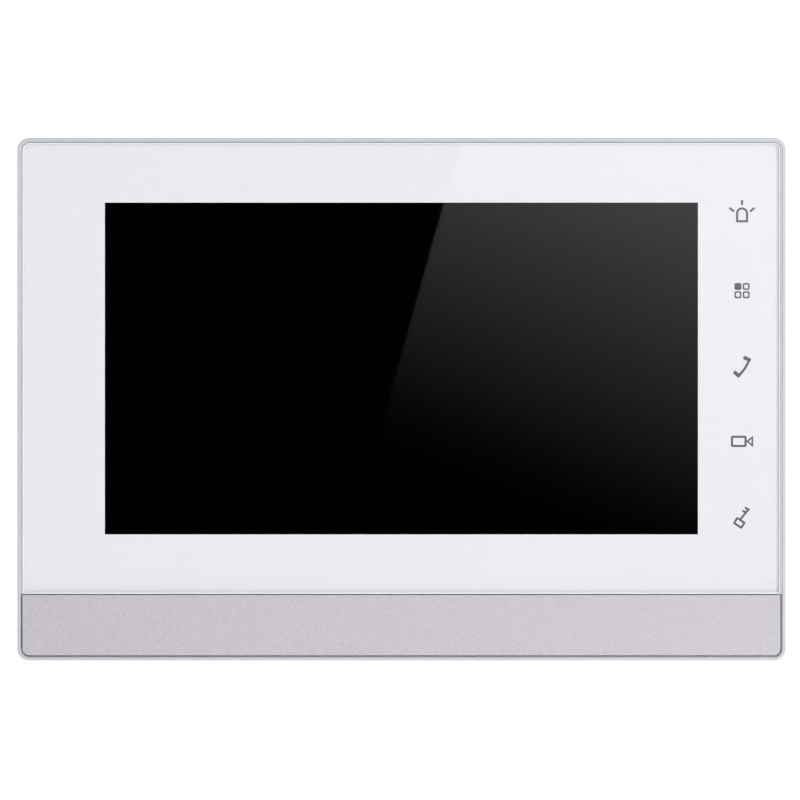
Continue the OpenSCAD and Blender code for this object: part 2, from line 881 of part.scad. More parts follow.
module network_jack() {
    jack_z = mouth_z + jack_l / 2;
    socket_y = jack_back_y - 1.6 - socket_t;
    color(plastic_black) difference() {
        block(jack_x, jack_z, jack_w, jack_l, board_back_y, jack_back_y);
        translate([jack_x - socket_w / 2, socket_y, mouth_z - cut]) cube([socket_w, socket_t, socket_d + cut]);
        // notch for the plug's latch
        translate([jack_x - 3, socket_y - 1.6, mouth_z - cut]) cube([6, 1.6 + cut, socket_d + cut]);
    }
}

module network_contacts() {
    color(gold_colour) for (i = [0:7]) {
        translate([jack_x + (i - 3.5) * 1.02 - 0.175, jack_back_y - 2.2, mouth_z + 4]) cube([0.35, 0.6, 9]);
    }
}

// A header whose cavity opens downwards
module header(x, w) {
    header_z = mouth_z + header_l / 2;
    difference() {
        block(x, header_z, w, header_l, board_back_y, board_back_y + header_h);
        block(x, header_z - header_wall, w - 2 * header_wall, header_l,
            header_y - header_in_h / 2, header_y + header_in_h / 2);
    }
}

// A terminal plug: a nose inside the header and a body below it, with a hole for each pin and wire
module plug(x, w, poles) {
    nose_h = header_in_h - 2 * slide_fit;
    difference() {
        union() {
            block(x, mouth_z + plug_in / 2 - slide_fit,
                w - 2 * (header_wall + slide_fit), plug_in + 2 * slide_fit,
                header_y - nose_h / 2, header_y + nose_h / 2);
            block(x, mouth_z - slide_fit - plug_l / 2, w, plug_l, well_y + slide_fit, board_back_y + plug_h);
        }
        for (i = [0:poles - 1]) {
            pole_x = x + (i - (poles - 1) / 2) * pole_pitch;
            block(pole_x, mouth_z + plug_in / 2, pin_t + 2 * slide_fit, plug_in + 4,
                header_y - pin_t / 2 - slide_fit, header_y + pin_t / 2 + slide_fit);
            block(pole_x, mouth_z - plug_l, 2.3, 5, header_y - 1.2, header_y + 1.2);
            rod(pole_x, plug_screw_z, 1.45 + part_fit, header_y + 1.2 + room, board_back_y + plug_h + cut);
        }
    }
}

plug_screw_z = mouth_z - plug_l / 2 - 0.3;

module pins(x, poles) {
    for (i = [0:poles - 1]) {
        block(x + (i - (poles - 1) / 2) * pole_pitch, mouth_z + header_l - header_wall - pin_l / 2,
            pin_t, pin_l, header_y - pin_t / 2, header_y + pin_t / 2);
    }
}

// Slotted clamp screws in the back of a plug
module plug_screws(x, poles) {
    head_y = board_back_y + plug_h - 0.6;
    for (i = [0:poles - 1]) {
        pole_x = x + (i - (poles - 1) / 2) * pole_pitch;
        difference() {
            rod(pole_x, plug_screw_z, 1.45, header_y + 1.2 + room, head_y);
            translate([pole_x, head_y, plug_screw_z]) rotate([0, 20 + 37 * i, 0])
                cube([4, 1, 0.5], center = true);
        }
    }
}

module alarm_header() { color(terminal_green) header(alarm_x, alarm_w); }
module alarm_pins() { color(gold_colour) pins(alarm_x, alarm_poles); }
module alarm_plug() { color(terminal_green) plug(alarm_x, alarm_w, alarm_poles); }
module alarm_plug_screws() { color(screw_colour) plug_screws(alarm_x, alarm_poles); }
module power_header() { color(terminal_green) header(power_x, power_w); }
module power_pins() { color(gold_colour) pins(power_x, power_poles); }
module power_plug() { color(terminal_green) plug(power_x, power_w, power_poles); }
module power_plug_screws() { color(screw_colour) plug_screws(power_x, power_poles); }

// ---------- Reset key ----------

module reset_switch() {
    color(plastic_black) difference() {
        block(reset_x, reset_z, reset_w, reset_w, board_back_y, board_back_y + reset_h);
        rod(reset_x, reset_z, plunger_r + slide_fit, board_back_y + 1.2, board_back_y + reset_h + cut);
    }
}

module reset_plunger() {
    color("#e9e7e2") rod(reset_x, reset_z, plunger_r, board_back_y + 1.2 + plunger_travel + slide_fit,
        board_back_y + reset_h + plunger_out);
}

// ---------- Speaker ----------

// A slot with round ends
module race(w, l) {
    square([w, l - w], center = true);
    for (z = [-1, 1]) translate([0, z * (l - w) / 2]) circle(r = w / 2);
}

module at_speaker(y0, y1) slab(y0, y1) translate([speaker_x, speaker_z]) children();

module speaker_basket() {
    color(plastic_black) difference() {
        at_speaker(speaker_y - speaker_d, speaker_y) race(speaker_w, speaker_l);
        at_speaker(speaker_y - speaker_d + 1, speaker_y + cut) race(speaker_w - 2.4, speaker_l - 2.4);
    }
}

module speaker_cone() {
    color("#2b2b2d") {
        at_speaker(speaker_y - 1.2, speaker_y - 0.8) race(speaker_w - 2.4, speaker_l - 2.4);
        at_speaker(speaker_y - 0.8, speaker_y - 0.3) race(speaker_w / 2, speaker_l / 2);
    }
}

module speaker_magnet() {
    color(steel_colour)
        rod(speaker_x, speaker_z, magnet_r, speaker_y - speaker_d - magnet_t, speaker_y - speaker_d);
}

module speaker_gasket() {
    color("#3a3a3c") difference() {
        at_speaker(speaker_y, cover_in_y) race(speaker_w, speaker_l);
        at_speaker(speaker_y - cut, cover_in_y + cut) race(speaker_w - 3.4, speaker_l - 3.4);
    }
}

lead_y = recess_in_y - room - lead_r - 0.2;
lead_z = speaker_z + 8;

module speaker_leads() {
    color("#a8322d") for (side = [-1, 1]) {
        translate([speaker_x + speaker_w / 2, lead_y, lead_z + side * lead_gap / 2]) rotate([0, 90, 0])
            cylinder(r = lead_r, h = board_left + 2 - speaker_x - speaker_w / 2);
    }
}

// ---------- Microphone ----------

module microphone() {
    color(steel_colour) translate([mic_x, mic_y, mic_floor + 1.5]) cylinder(r = mic_r, h = mic_l);
}

module mic_boot() {
    color(plastic_black) translate([mic_x, mic_y, mic_floor]) difference() {
        cylinder(r = boot_r, h = boot_l);
        translate([0, 0, -cut]) cylinder(r = 1, h = boot_l + 2 * cut);
        translate([0, 0, 1.5]) cylinder(r = mic_r, h = boot_l);
    }
}

module mic_leads() {
    start_z = mic_floor + 1.5 + mic_l;
    color("#a8322d") for (side = [-1, 1]) {
        translate([mic_x + side * lead_gap / 2, mic_y, start_z])
            cylinder(r = lead_r, h = board_bottom + 1 - start_z);
    }
}

// ---------- Rear cover ----------

module rear_cover() {
    color(cover_colour) difference() {
        union() {
            cover_shell();
            cover_tongue();
            // walls of the bracket recess and of the cable well
            recess_block();
            well_block(well_wall, well_y - well_floor, recess_in_y + cut);
            for (p = case_spots) rod(p[0], p[1], boss_r + 0.8, boss_y, cover_in_y + cut);
            speaker_rib();
            mic_cradle();
        }
        recess_cavity();
        well_block(0, well_y, back_y + cut);
        connector_holes();
        hook_slots();
        for (p = case_spots) {
            rod(p[0], p[1], case_thread_r + part_fit, boss_y - cut, case_seat_y + cut);
            rod(p[0], p[1], case_head_r + part_fit, case_seat_y, back_y + cut);
        }
        vents();
        grille();
        translate([mic_x, mic_y, -cover_h / 2 - cut]) cylinder(r = 0.7, h = cover_wall + 2 * cut);
    }
}

module cover_shell() {
    difference() {
        bevelled_box(cover_w, cover_h, corner_r, parting_y, back_y, bevel);
        bevelled_box(cover_w - 2 * cover_wall, cover_h - 2 * cover_wall, max(corner_r - cover_wall, 0.5),
            parting_y - cut, cover_in_y, inner_bevel);
    }
}

// A rim that reaches into the front frame
module cover_tongue() {
    out_w = inner_w - 2 * part_fit;
    out_h = inner_h - 2 * part_fit;
    slab(parting_y - tongue_l, parting_y + tongue_root) difference() {
        round_rect(out_w, out_h, inner_r);
        square([out_w - 2 * tongue_wall, out_h - 2 * tongue_wall], center = true);
    }
}

// The solid that the recess is cut from
module recess_block() {
    block(0, (recess_top + recess_bottom) / 2, recess_w + 2 * cover_wall,
        recess_top - recess_bottom + 2 * cover_wall, recess_in_y, cover_in_y + cut);
}

module recess_cavity() {
    slab(recess_y, back_y + cut) translate([0, (recess_top + recess_bottom) / 2])
        round_rect(recess_w, recess_top - recess_bottom, 3);
}

module well_block(wall, y0, y1) {
    block(0, (well_top + well_bottom) / 2, well_w + 2 * wall, well_top - well_bottom + 2 * wall, y0, y1);
}

// Openings in the well's floor that the connectors stand through
module connector_holes() {
    y0 = well_y - well_floor - cut;
    header_z = mouth_z + header_l / 2;
    block(jack_x, mouth_z + jack_l / 2, jack_w + 2 * slide_fit, jack_l + 2 * slide_fit, y0, well_y + cut);
    block(alarm_x, header_z, alarm_w + 2 * slide_fit, header_l + 2 * slide_fit, y0, well_y + cut);
    block(power_x, header_z, power_w + 2 * slide_fit, header_l + 2 * slide_fit, y0, well_y + cut);
    block(reset_x, reset_z, reset_w + 2 * slide_fit, reset_w + 2 * slide_fit, y0, well_y + cut);
}

// Slots that the hooks enter; their top edges rest on the hooks
module hook_slots() {
    top = hook_play;
    bottom = -bracket_t - lift - slot_room;
    for (x = [-1, 1], z = hook_rows) {
        block(x * hook_x, z + (top + bottom) / 2, hook_w + 2 * slot_room, top - bottom,
            recess_in_y - cut, recess_y + cut);
    }
}

// A rib round the speaker
module speaker_rib() {
    rib_w = speaker_w + 2 * part_fit;
    rib_l = speaker_l + 2 * part_fit;
    rib_wall = 1.2;
    difference() {
        at_speaker(speaker_y - 3, cover_in_y + cut) race(rib_w + 2 * rib_wall, rib_l + 2 * rib_wall);
        at_speaker(speaker_y - 3 - cut, cover_in_y + 2 * cut) race(rib_w, rib_l);
    }
}

// A cup that holds the microphone's boot on the bottom wall
module mic_cradle() {
    translate([mic_x, mic_y, mic_floor - part_fit]) difference() {
        cylinder(r = boot_r + part_fit + 0.8, h = 4);
        cylinder(r = boot_r + part_fit, h = 4 + cut);
    }
}

grille_pitch = 3.2;
vent_w = 1.6;
vent_l = 5;
back_vent_l = 9;
vent_pitch = 4;
vent_count = 15;
vent_y = (parting_y + back_y - bevel - vent_l) / 2;

// Vents through the top wall and through the back above the recess
module vents() {
    for (i = [0:vent_count - 1]) {
        x = (i - (vent_count - 1) / 2) * vent_pitch;
        translate([x - vent_w / 2, vent_y, cover_h / 2 - cover_wall - cut])
            cube([vent_w, vent_l, cover_wall + 2 * cut]);
        slab(cover_in_y - cut, back_y + cut)
            translate([x, (recess_top + cover_wall + cover_h / 2 - bevel) / 2]) race(vent_w, back_vent_l);
    }
}

// Slots in front of the speaker's cone
module grille() {
    for (i = [-4:4]) {
        slab(cover_in_y - cut, back_y + cut) translate([speaker_x, speaker_z + i * grille_pitch]) rotate(90)
            race(vent_w, speaker_w - 5);
    }
}

module case_screws() {
    color(screw_colour) for (p = case_spots) {
        screw(p[0], p[1], case_head_r, case_head_h, case_thread_r,
            case_seat_y, case_seat_y - boss_y + case_reach);
    }
}

// ---------- Assembly ----------

wall_bracket();
front_frame();
trim_bar();
cover_glass();
glass_print();
key_symbols();
glass_tape();
touch_sensor();
touch_flex();
key_light_guide();
key_board();
key_leds();
key_flex();
lcd_gasket();
lcd_bezel();
lcd_panel();
backlight_guide();
backlight_leds();
lcd_tray();
lcd_flex();
chassis_plate();
chassis_screws();
board_standoffs();
main_board();
board_screws();
processor();
heat_pad();
memory_chips();
network_transformer();
power_inductors();
capacitors();
audio_amplifier();
coin_cell();
cell_holder();
board_sockets();
network_jack();
network_contacts();
alarm_header();
alarm_pins();
power_header();
power_pins();
reset_switch();
reset_plunger();
speaker_basket();
speaker_cone();
speaker_magnet();
speaker_gasket();
speaker_leads();
microphone();
mic_boot();
mic_leads();
rear_cover();
case_screws();
alarm_plug();
alarm_plug_screws();
power_plug();
power_plug_screws();
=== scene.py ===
"""Looks of a wall-hung video intercom monitor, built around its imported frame. Lengths are metres."""
import json
import math

import bmesh
import bpy
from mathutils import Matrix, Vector


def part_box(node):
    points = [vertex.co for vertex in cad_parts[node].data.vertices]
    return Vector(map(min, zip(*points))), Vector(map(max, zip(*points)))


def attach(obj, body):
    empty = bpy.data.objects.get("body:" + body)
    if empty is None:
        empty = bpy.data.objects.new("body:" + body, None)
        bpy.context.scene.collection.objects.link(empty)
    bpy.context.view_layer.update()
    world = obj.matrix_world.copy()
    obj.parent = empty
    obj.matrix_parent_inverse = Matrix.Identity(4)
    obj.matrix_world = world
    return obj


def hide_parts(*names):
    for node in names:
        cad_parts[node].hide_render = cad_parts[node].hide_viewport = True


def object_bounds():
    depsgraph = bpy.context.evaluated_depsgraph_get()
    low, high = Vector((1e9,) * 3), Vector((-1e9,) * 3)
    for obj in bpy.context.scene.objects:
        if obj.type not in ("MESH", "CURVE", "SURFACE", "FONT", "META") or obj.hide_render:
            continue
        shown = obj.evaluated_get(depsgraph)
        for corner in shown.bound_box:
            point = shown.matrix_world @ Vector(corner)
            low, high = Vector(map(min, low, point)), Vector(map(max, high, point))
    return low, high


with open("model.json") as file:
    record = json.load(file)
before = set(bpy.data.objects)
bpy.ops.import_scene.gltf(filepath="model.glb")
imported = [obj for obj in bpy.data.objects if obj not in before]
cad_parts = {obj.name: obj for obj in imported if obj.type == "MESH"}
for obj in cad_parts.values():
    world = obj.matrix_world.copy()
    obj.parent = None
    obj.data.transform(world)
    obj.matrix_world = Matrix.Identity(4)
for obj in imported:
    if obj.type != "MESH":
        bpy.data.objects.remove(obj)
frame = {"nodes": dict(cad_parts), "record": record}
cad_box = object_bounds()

MM = 0.001
RECORD = frame["record"]
SLOT_OF = {row["node"]: row["material_slot"] for row in RECORD["subparts"]}
BODY_OF = {node: body for body, nodes in RECORD["behaviour"]["bodies"].items() for node in nodes}
FRONT_Y = cad_box[0][1]

# The camera looks square on at the front from far away
CAMERA_DISTANCE = 2.5
FIELD_WIDTH = 208.39 * MM
CAMERA_X = -0.36 * MM
CAMERA_Z = -0.21 * MM
SENSOR = 36.0

# The floor lies as far below the hanging monitor as in a room, and is lit like a studio's
FLOOR_DROP = 1.5
FLOOR_RADIUS = 8
FLOOR_GLOW = 0.22


# ---------- Camera, floor and light ----------

def link(obj):
    bpy.context.scene.collection.objects.link(obj)
    return obj


def make_camera():
    data = bpy.data.cameras.new("camera")
    data.sensor_width = SENSOR
    data.lens = SENSOR * CAMERA_DISTANCE / FIELD_WIDTH
    camera = link(bpy.data.objects.new("camera", data))
    camera.location = (CAMERA_X, FRONT_Y - CAMERA_DISTANCE, CAMERA_Z)
    camera.rotation_euler = (math.pi / 2, 0, 0)
    bpy.context.scene.camera = camera


# The dome is dark straight in front, from one angle to the other off the object's axis, in degrees
DOME_LIGHT = 0.42
DOME_DARK_WITHIN = 9
DOME_FULL_FROM = 26


def make_world():
    """White behind the object; a softer grey dome for everything it reflects, dark straight in front."""
    world = bpy.data.worlds.new("studio")
    world.use_nodes = True
    bpy.context.scene.world = world
    tree = world.node_tree
    tree.nodes.clear()
    coords = tree.nodes.new("ShaderNodeTexCoord")
    facing = tree.nodes.new("ShaderNodeVectorMath")
    facing.operation = "DOT_PRODUCT"
    facing.inputs[1].default_value = (0, -1, 0)
    dark = tree.nodes.new("ShaderNodeMapRange")
    dark.interpolation_type = "SMOOTHSTEP"
    dark.inputs["From Min"].default_value = math.cos(math.radians(DOME_FULL_FROM))
    dark.inputs["From Max"].default_value = math.cos(math.radians(DOME_DARK_WITHIN))
    dark.inputs["To Min"].default_value = DOME_LIGHT
    dark.inputs["To Max"].default_value = 0.0
    dome = tree.nodes.new("ShaderNodeBackground")
    dome.inputs["Color"].default_value = (0.985, 0.99, 1, 1)
    white = tree.nodes.new("ShaderNodeBackground")
    path = tree.nodes.new("ShaderNodeLightPath")
    mix = tree.nodes.new("ShaderNodeMixShader")
    out = tree.nodes.new("ShaderNodeOutputWorld")
    white.inputs["Color"].default_value = (1, 1, 1, 1)
    tree.links.new(coords.outputs["Generated"], facing.inputs[0])
    tree.links.new(facing.outputs["Value"], dark.inputs["Value"])
    tree.links.new(dark.outputs["Result"], dome.inputs["Strength"])
    tree.links.new(path.outputs["Is Camera Ray"], mix.inputs["Fac"])
    tree.links.new(dome.outputs["Background"], mix.inputs[1])
    tree.links.new(white.outputs["Background"], mix.inputs[2])
    tree.links.new(mix.outputs["Shader"], out.inputs["Surface"])


def soft_light(name, place, size, power):
    """A large square lamp aimed at the object."""
    data = bpy.data.lights.new(name, "AREA")
    data.size = size
    data.energy = power
    lamp = link(bpy.data.objects.new(name, data))
    lamp.location = place
    lamp.rotation_euler = (-Vector(place)).to_track_quat("-Z", "Y").to_euler()
    lamp.visible_camera = False


def make_lights():
    soft_light("key_light", (0.42, -1.1, 0.18), 0.4, 4.3)
    soft_light("low_light", (0.2, -1.3, -0.42), 0.45, 3.6)
    soft_light("fill_light", (-0.45, -1.2, 0.3), 0.5, 1.4)
    soft_light("back_light", (-0.9, 1.6, 1.1), 0.9, 5)
    soft_light("back_fill", (1.3, 1.5, 0.2), 0.8, 2)


def make_floor():
    bpy.ops.mesh.primitive_circle_add(vertices=96, radius=FLOOR_RADIUS, fill_type="NGON")
    floor = bpy.context.object
    floor.name = "floor"
    floor.location = (0, 0, cad_box[0][2] - FLOOR_DROP)
    glow = {"Emission Color": (1, 1, 1, 1), "Emission Strength": FLOOR_GLOW}
    look = Look("floor_paint", **{"Roughness": 0.7}, **glow)
    look.colour(look.blend(look.noise(60), (0.8, 0.8, 0.81), (0.84, 0.84, 0.85)))
    floor.data.materials.append(look.material)


# The card that the display mirrors: a bright soft-box with one slanted edge, behind the camera
CARD_DISTANCE = 3.5
CARD_TOP = 90 * MM
CARD_LOW = -70 * MM
CARD_RIGHT = 130 * MM
CARD_EDGE_TOP = (11.1 * MM, 50.85 * MM)
CARD_EDGE_LEAN = 0.2785
CARD_FALL_DIRECTION = (0.375, 0, 0.927)
CARD_DARK = -15 * MM
CARD_BRIGHT = 76 * MM
CARD_GLOW = 1.0
CARD_POWER = 1.75


def make_glare_card():
    """Its points are display points, scaled to where the mirrored rays from the camera meet the card."""
    grow = 1 + CARD_DISTANCE / CAMERA_DISTANCE

    def edge_point(z):
        return CARD_EDGE_TOP[0] + (z - CARD_EDGE_TOP[1]) * CARD_EDGE_LEAN, z

    corners = [edge_point(CARD_LOW), (CARD_RIGHT, CARD_LOW), (CARD_RIGHT, CARD_TOP), edge_point(CARD_TOP)]
    mesh = bpy.data.meshes.new("glare_card")
    mesh.from_pydata([(x * grow, 0, z * grow) for x, z in corners], [], [(0, 1, 2, 3)])
    card = link(bpy.data.objects.new("glare_card", mesh))
    card.location = (0, FRONT_Y - CARD_DISTANCE, 0)
    look = Look("glare_glow")
    tree = look.tree
    tree.nodes.remove(look.surface)
    glow = look.add("Emission")
    slope = look.add("VectorMath", {0: look.place, 1: CARD_FALL_DIRECTION}, operation="DOT_PRODUCT")
    level = look.span(slope.outputs["Value"], 0, 1, CARD_DARK * grow, CARD_BRIGHT * grow)
    strength = look.sum("MULTIPLY", look.sum("POWER", level, CARD_POWER), CARD_GLOW)
    look.feed(glow.inputs["Strength"], strength)
    tree.links.new(glow.outputs["Emission"], look.out.inputs["Surface"])
    mesh.materials.append(look.material)
    card.visible_camera = False
    card.visible_diffuse = False
    card.visible_shadow = False
    card.visible_transmission = False


# ---------- Material building blocks ----------

def srgb(red, green, blue):
    """The linear colour of an everyday 0 to 255 one."""
    def linear(level):
        level /= 255
        return level / 12.92 if level <= 0.04045 else ((level + 0.055) / 1.055) ** 2.4
    return tuple(linear(level) for level in (red, green, blue))


def shade(colour, gain):
    return tuple(min(part * gain, 1.0) for part in colour)


class Look:
    """One procedural material, with short calls for its nodes. Sizes are in millimetres."""

    def __init__(self, name, **fixed):
        self.material = bpy.data.materials.new(name)
        self.material.use_nodes = True
        self.tree = self.material.node_tree
        self.surface = self.tree.nodes["Principled BSDF"]
        self.out = self.tree.nodes["Material Output"]
        self.place = self.add("TexCoord").outputs["Object"]
        for socket, value in fixed.items():
            self.surface.inputs[socket].default_value = value

    def add(self, kind, inputs=None, **settings):
        node = self.tree.nodes.new("ShaderNode" + kind)
        for name, value in settings.items():
            setattr(node, name, value)
        for key, value in (inputs or {}).items():
            self.feed(node.inputs[key], value)
        return node

    def feed(self, socket, value):
        if isinstance(value, bpy.types.NodeSocket):
            self.tree.links.new(value, socket)
        elif socket.type == "RGBA" and len(value) == 3:
            socket.default_value = (*value, 1)
        else:
            socket.default_value = value

    def stretched(self, stretch):
        scaled = self.add("VectorMath", {0: self.place, 1: stretch}, operation="MULTIPLY")
        return scaled.outputs["Vector"]

    def noise(self, size, detail=2.0, stretch=None):
        place = self.stretched(stretch) if stretch else self.place
        given = {"Vector": place, "Scale": 1 / (size * MM), "Detail": detail}
        return self.add("TexNoise", given).outputs["Fac"]

    def cells(self, size, output="Distance"):
        given = {"Vector": self.place, "Scale": 1 / (size * MM)}
        return self.add("TexVoronoi", given).outputs[output]

    def sum(self, operation, first, second=0.0):
        return self.add("Math", {0: first, 1: second}, operation=operation).outputs["Value"]

    def span(self, value, low, high, start=0.0, end=1.0):
        """Maps start..end to low..high."""
        given = {"Value": value, "From Min": start, "From Max": end, "To Min": low, "To Max": high}
        return self.add("MapRange", given).outputs["Result"]

    def blend(self, factor, first, second):
        return self.add("MixRGB", {"Fac": factor, "Color1": first, "Color2": second}).outputs["Color"]

    def part(self, colour, channel):
        return self.add("SeparateColor", {"Color": colour}).outputs[channel]

    def along(self, axis):
        """The coordinate along X, Y or Z."""
        return self.add("SeparateXYZ", {"Vector": self.place}).outputs[axis]

    def stripes(self, axis, pitch, share):
        """1 on stripes across an axis that take up a share of each pitch, 0 between them."""
        turn = self.sum("FRACT", self.sum("MULTIPLY", self.along(axis), 1 / (pitch * MM)))
        return self.sum("LESS_THAN", turn, share)

    def colour(self, value):
        self.feed(self.surface.inputs["Base Color"], value)

    def rough(self, value):
        self.feed(self.surface.inputs["Roughness"], value)

    def bump(self, height, depth, strength=1.0):
        """Raises the surface by up to depth millimetres."""
        given = {"Height": height, "Distance": depth * MM, "Strength": strength}
        if self.surface.inputs["Normal"].is_linked:
            given["Normal"] = self.surface.inputs["Normal"].links[0].from_socket
        normal = self.add("Bump", given).outputs["Normal"]
        self.feed(self.surface.inputs["Normal"], normal)


# ---------- Materials ----------

def moulded(slot, colour, rough, grain=0.25, depth=0.006, vary=0.02, **fixed):
    """Injection-moulded plastic: spark-eroded grain, a faint flow mottle and uneven sheen."""
    look = Look(slot, **fixed)
    flow = look.noise(16, 3.0, (1, 1, 0.4))
    fine = look.noise(grain, 3.0)
    tone = look.blend(flow, shade(colour, 1 - vary), shade(colour, 1 + vary))
    look.colour(look.blend(look.span(fine, 0, 0.25), tone, shade(colour, 1 - 2.5 * vary)))
    sheen = look.span(fine, rough - 0.05, rough + 0.05)
    look.rough(look.sum("ADD", sheen, look.span(flow, -0.03, 0.03)))
    look.bump(fine, depth)
    return look.material


def flake_paint(slot, colour):
    """Silver paint: tiny flakes of uneven brightness in a satin lacquer."""
    look = Look(slot, **{"Metallic": 0.2, "Coat Weight": 0.15, "Coat Roughness": 0.3})
    flake = look.part(look.cells(0.2, "Color"), "Red")
    speck = look.part(look.cells(0.33, "Color"), "Green")
    flow = look.noise(22, 2.0)
    base = look.blend(flake, shade(colour, 0.9), shade(colour, 1.1))
    sparkle = look.sum("GREATER_THAN", speck, 0.92)
    dull = look.sum("LESS_THAN", speck, 0.08)
    base = look.blend(look.sum("MULTIPLY", sparkle, 0.22), base, shade(colour, 1.5))
    base = look.blend(look.sum("MULTIPLY", dull, 0.22), base, shade(colour, 0.62))
    look.colour(look.blend(look.span(flow, 0, 0.12), base, shade(colour, 0.9)))
    look.rough(look.span(flake, 0.38, 0.6))
    look.bump(flake, 0.008)
    look.bump(look.noise(0.6, 2.0), 0.006)
    return look.material


def printed_ink(slot, colour, rough=0.5):
    """Screen-printed ink with a faint mesh texture. It has little gloss of its own behind the glass."""
    look = Look(slot, **{"Specular IOR Level": 0.08})
    mesh = look.sum("MULTIPLY", look.stripes("X", 0.12, 0.5), look.stripes("Z", 0.12, 0.5))
    tone = look.blend(look.noise(35, 2.0), shade(colour, 0.99), shade(colour, 1.01))
    look.colour(look.blend(look.sum("MULTIPLY", mesh, 0.03), tone, shade(colour, 0.9)))
    look.rough(look.span(look.noise(0.4), rough - 0.05, rough + 0.05))
    look.bump(mesh, 0.002, 0.3)
    return look.material


def clear_sheet(slot, tint, facing_gloss, rough):
    """Clear glass or film that doesn't bend light: it lets light through and adds a thin reflection."""
    look = Look(slot)
    look.tree.nodes.remove(look.surface)
    through = look.add("BsdfTransparent", {"Color": tint})
    smudge = look.noise(18, 3.0)
    shine = look.add("BsdfGlossy", {"Roughness": look.span(smudge, rough * 0.5, rough * 1.5)})
    # Schlick's law from the facing angle, on the outer side only
    away = look.add("LayerWeight", {"Blend": 0.5}).outputs["Facing"]
    edge = look.sum("MULTIPLY", look.sum("POWER", away, 5.0), 1 - facing_gloss)
    outer = look.sum("SUBTRACT", 1.0, look.add("NewGeometry").outputs["Backfacing"])
    share = look.sum("MULTIPLY", look.sum("ADD", edge, facing_gloss), outer)
    mix = look.add("MixShader", {"Fac": share, 1: through.outputs["BSDF"], 2: shine.outputs["BSDF"]})
    look.tree.links.new(mix.outputs["Shader"], look.out.inputs["Surface"])
    return look.material


def display(slot):
    """A dark panel behind polished glass, near black when it is off."""
    look = Look(slot, **{"Specular IOR Level": 0.25})
    look.colour(look.blend(look.noise(40), (0.0003, 0.0003, 0.0004), (0.0006, 0.0006, 0.0008)))
    look.rough(look.span(look.noise(18), 0.006, 0.012))
    look.bump(look.noise(60), 0.00001)
    return look.material


# Painted glow: the glass rim emits a little light of its own, so that it shows as a thin bright line
PAINTED_RIM_GLOW = 0.18


def ground_rim_painted_glow():
    """The rim of the cover glass: frosted outside, with a painted glow where light would leave the glass,
    and a mirror inside.
    """
    look = Look("ground_rim_painted_glow", **{"Emission Color": (1, 1, 1, 1), "Emission Strength": PAINTED_RIM_GLOW})
    grit = look.noise(0.12, 3.0)
    look.colour(look.blend(grit, (0.86, 0.89, 0.89), (0.95, 0.97, 0.97)))
    look.rough(look.span(grit, 0.5, 0.7))
    look.bump(grit, 0.004)
    mirror = look.add("BsdfGlossy", {"Color": (0.97, 0.98, 0.98), "Roughness": 0.15})
    inside = look.add("NewGeometry").outputs["Backfacing"]
    given = {"Fac": inside, 1: look.surface.outputs["BSDF"], 2: mirror.outputs["BSDF"]}
    look.feed(look.out.inputs["Surface"], look.add("MixShader", given).outputs["Shader"])
    return look.material


def metal(slot, colour, rough, grain=0.2, stretch=(1, 1, 1), spangle=None, depth=0.004):
    """Bare or plated metal: brushed along one direction, with crystals where it is galvanised."""
    look = Look(slot, **{"Metallic": 1.0})
    brush = look.noise(grain, 4.0, stretch)
    patch = look.noise(7, 3.0)
    tone = look.blend(patch, shade(colour, 0.93), shade(colour, 1.05))
    if spangle:
        crystal = look.part(look.cells(spangle, "Color"), "Blue")
        tone = look.blend(look.span(crystal, 0.0, 0.35), tone, shade(colour, 0.78))
        sheen = look.span(brush, rough - 0.06, rough + 0.06)
        look.rough(look.sum("ADD", sheen, look.span(crystal, -0.05, 0.05)))
    else:
        look.rough(look.span(brush, rough - 0.08, rough + 0.08))
    look.colour(look.blend(look.span(brush, 0, 0.3), tone, shade(colour, 0.85)))
    look.bump(brush, depth)
    return look.material


def circuit_board(slot):
    """Green solder mask over tracks that run across or up by areas, with tinned through-holes."""
    look = Look(slot, **{"Coat Weight": 0.3, "Coat Roughness": 0.15})
    mask = srgb(20, 78, 46)
    track = srgb(38, 112, 66)
    area = look.part(look.cells(8, "Color"), "Red")
    across = look.sum("MULTIPLY", look.stripes("Z", 0.7, 0.4), look.sum("GREATER_THAN", area, 0.58))
    upward = look.sum("MULTIPLY", look.stripes("X", 0.7, 0.4), look.sum("LESS_THAN", area, 0.42))
    tracks = look.sum("MAXIMUM", across, upward)
    hole = look.sum("LESS_THAN", look.cells(2.6), 0.11)
    tone = look.blend(look.noise(20), shade(mask, 0.92), shade(mask, 1.08))
    look.colour(look.blend(hole, look.blend(tracks, tone, track), srgb(196, 192, 180)))
    look.rough(look.span(look.noise(0.4), 0.3, 0.42))
    look.bump(look.sum("MAXIMUM", tracks, hole), 0.035)
    return look.material


def striped_cable(slot, film, copper, axis, pitch):
    """A flat cable whose conductors show through the film."""
    look = Look(slot, **{"Coat Weight": 0.3, "Coat Roughness": 0.12})
    lines = look.stripes(axis, pitch, 0.55)
    tone = look.blend(look.noise(4), shade(film, 0.92), shade(film, 1.06))
    look.colour(look.blend(look.sum("MULTIPLY", lines, 0.75), tone, copper))
    look.rough(look.span(look.noise(0.5), 0.22, 0.34))
    look.bump(lines, 0.02)
    return look.material


def cellular(slot, colour, rough, size, depth):
    """Foam, rubber and pressed paper: small open cells or fibres, each cell darker at its pit as painted
    shade.
    """
    look = Look(slot)
    cell = look.cells(size)
    # Painted shade: each cell is darkest at its centre, where the bump below makes a pit
    look.colour(look.blend(cell, shade(colour, 0.6), shade(colour, 1.25)))
    look.rough(look.span(cell, rough - 0.06, rough + 0.04))
    look.bump(cell, depth)
    look.bump(look.noise(size * 0.4, 3.0), depth * 0.4)
    return look.material


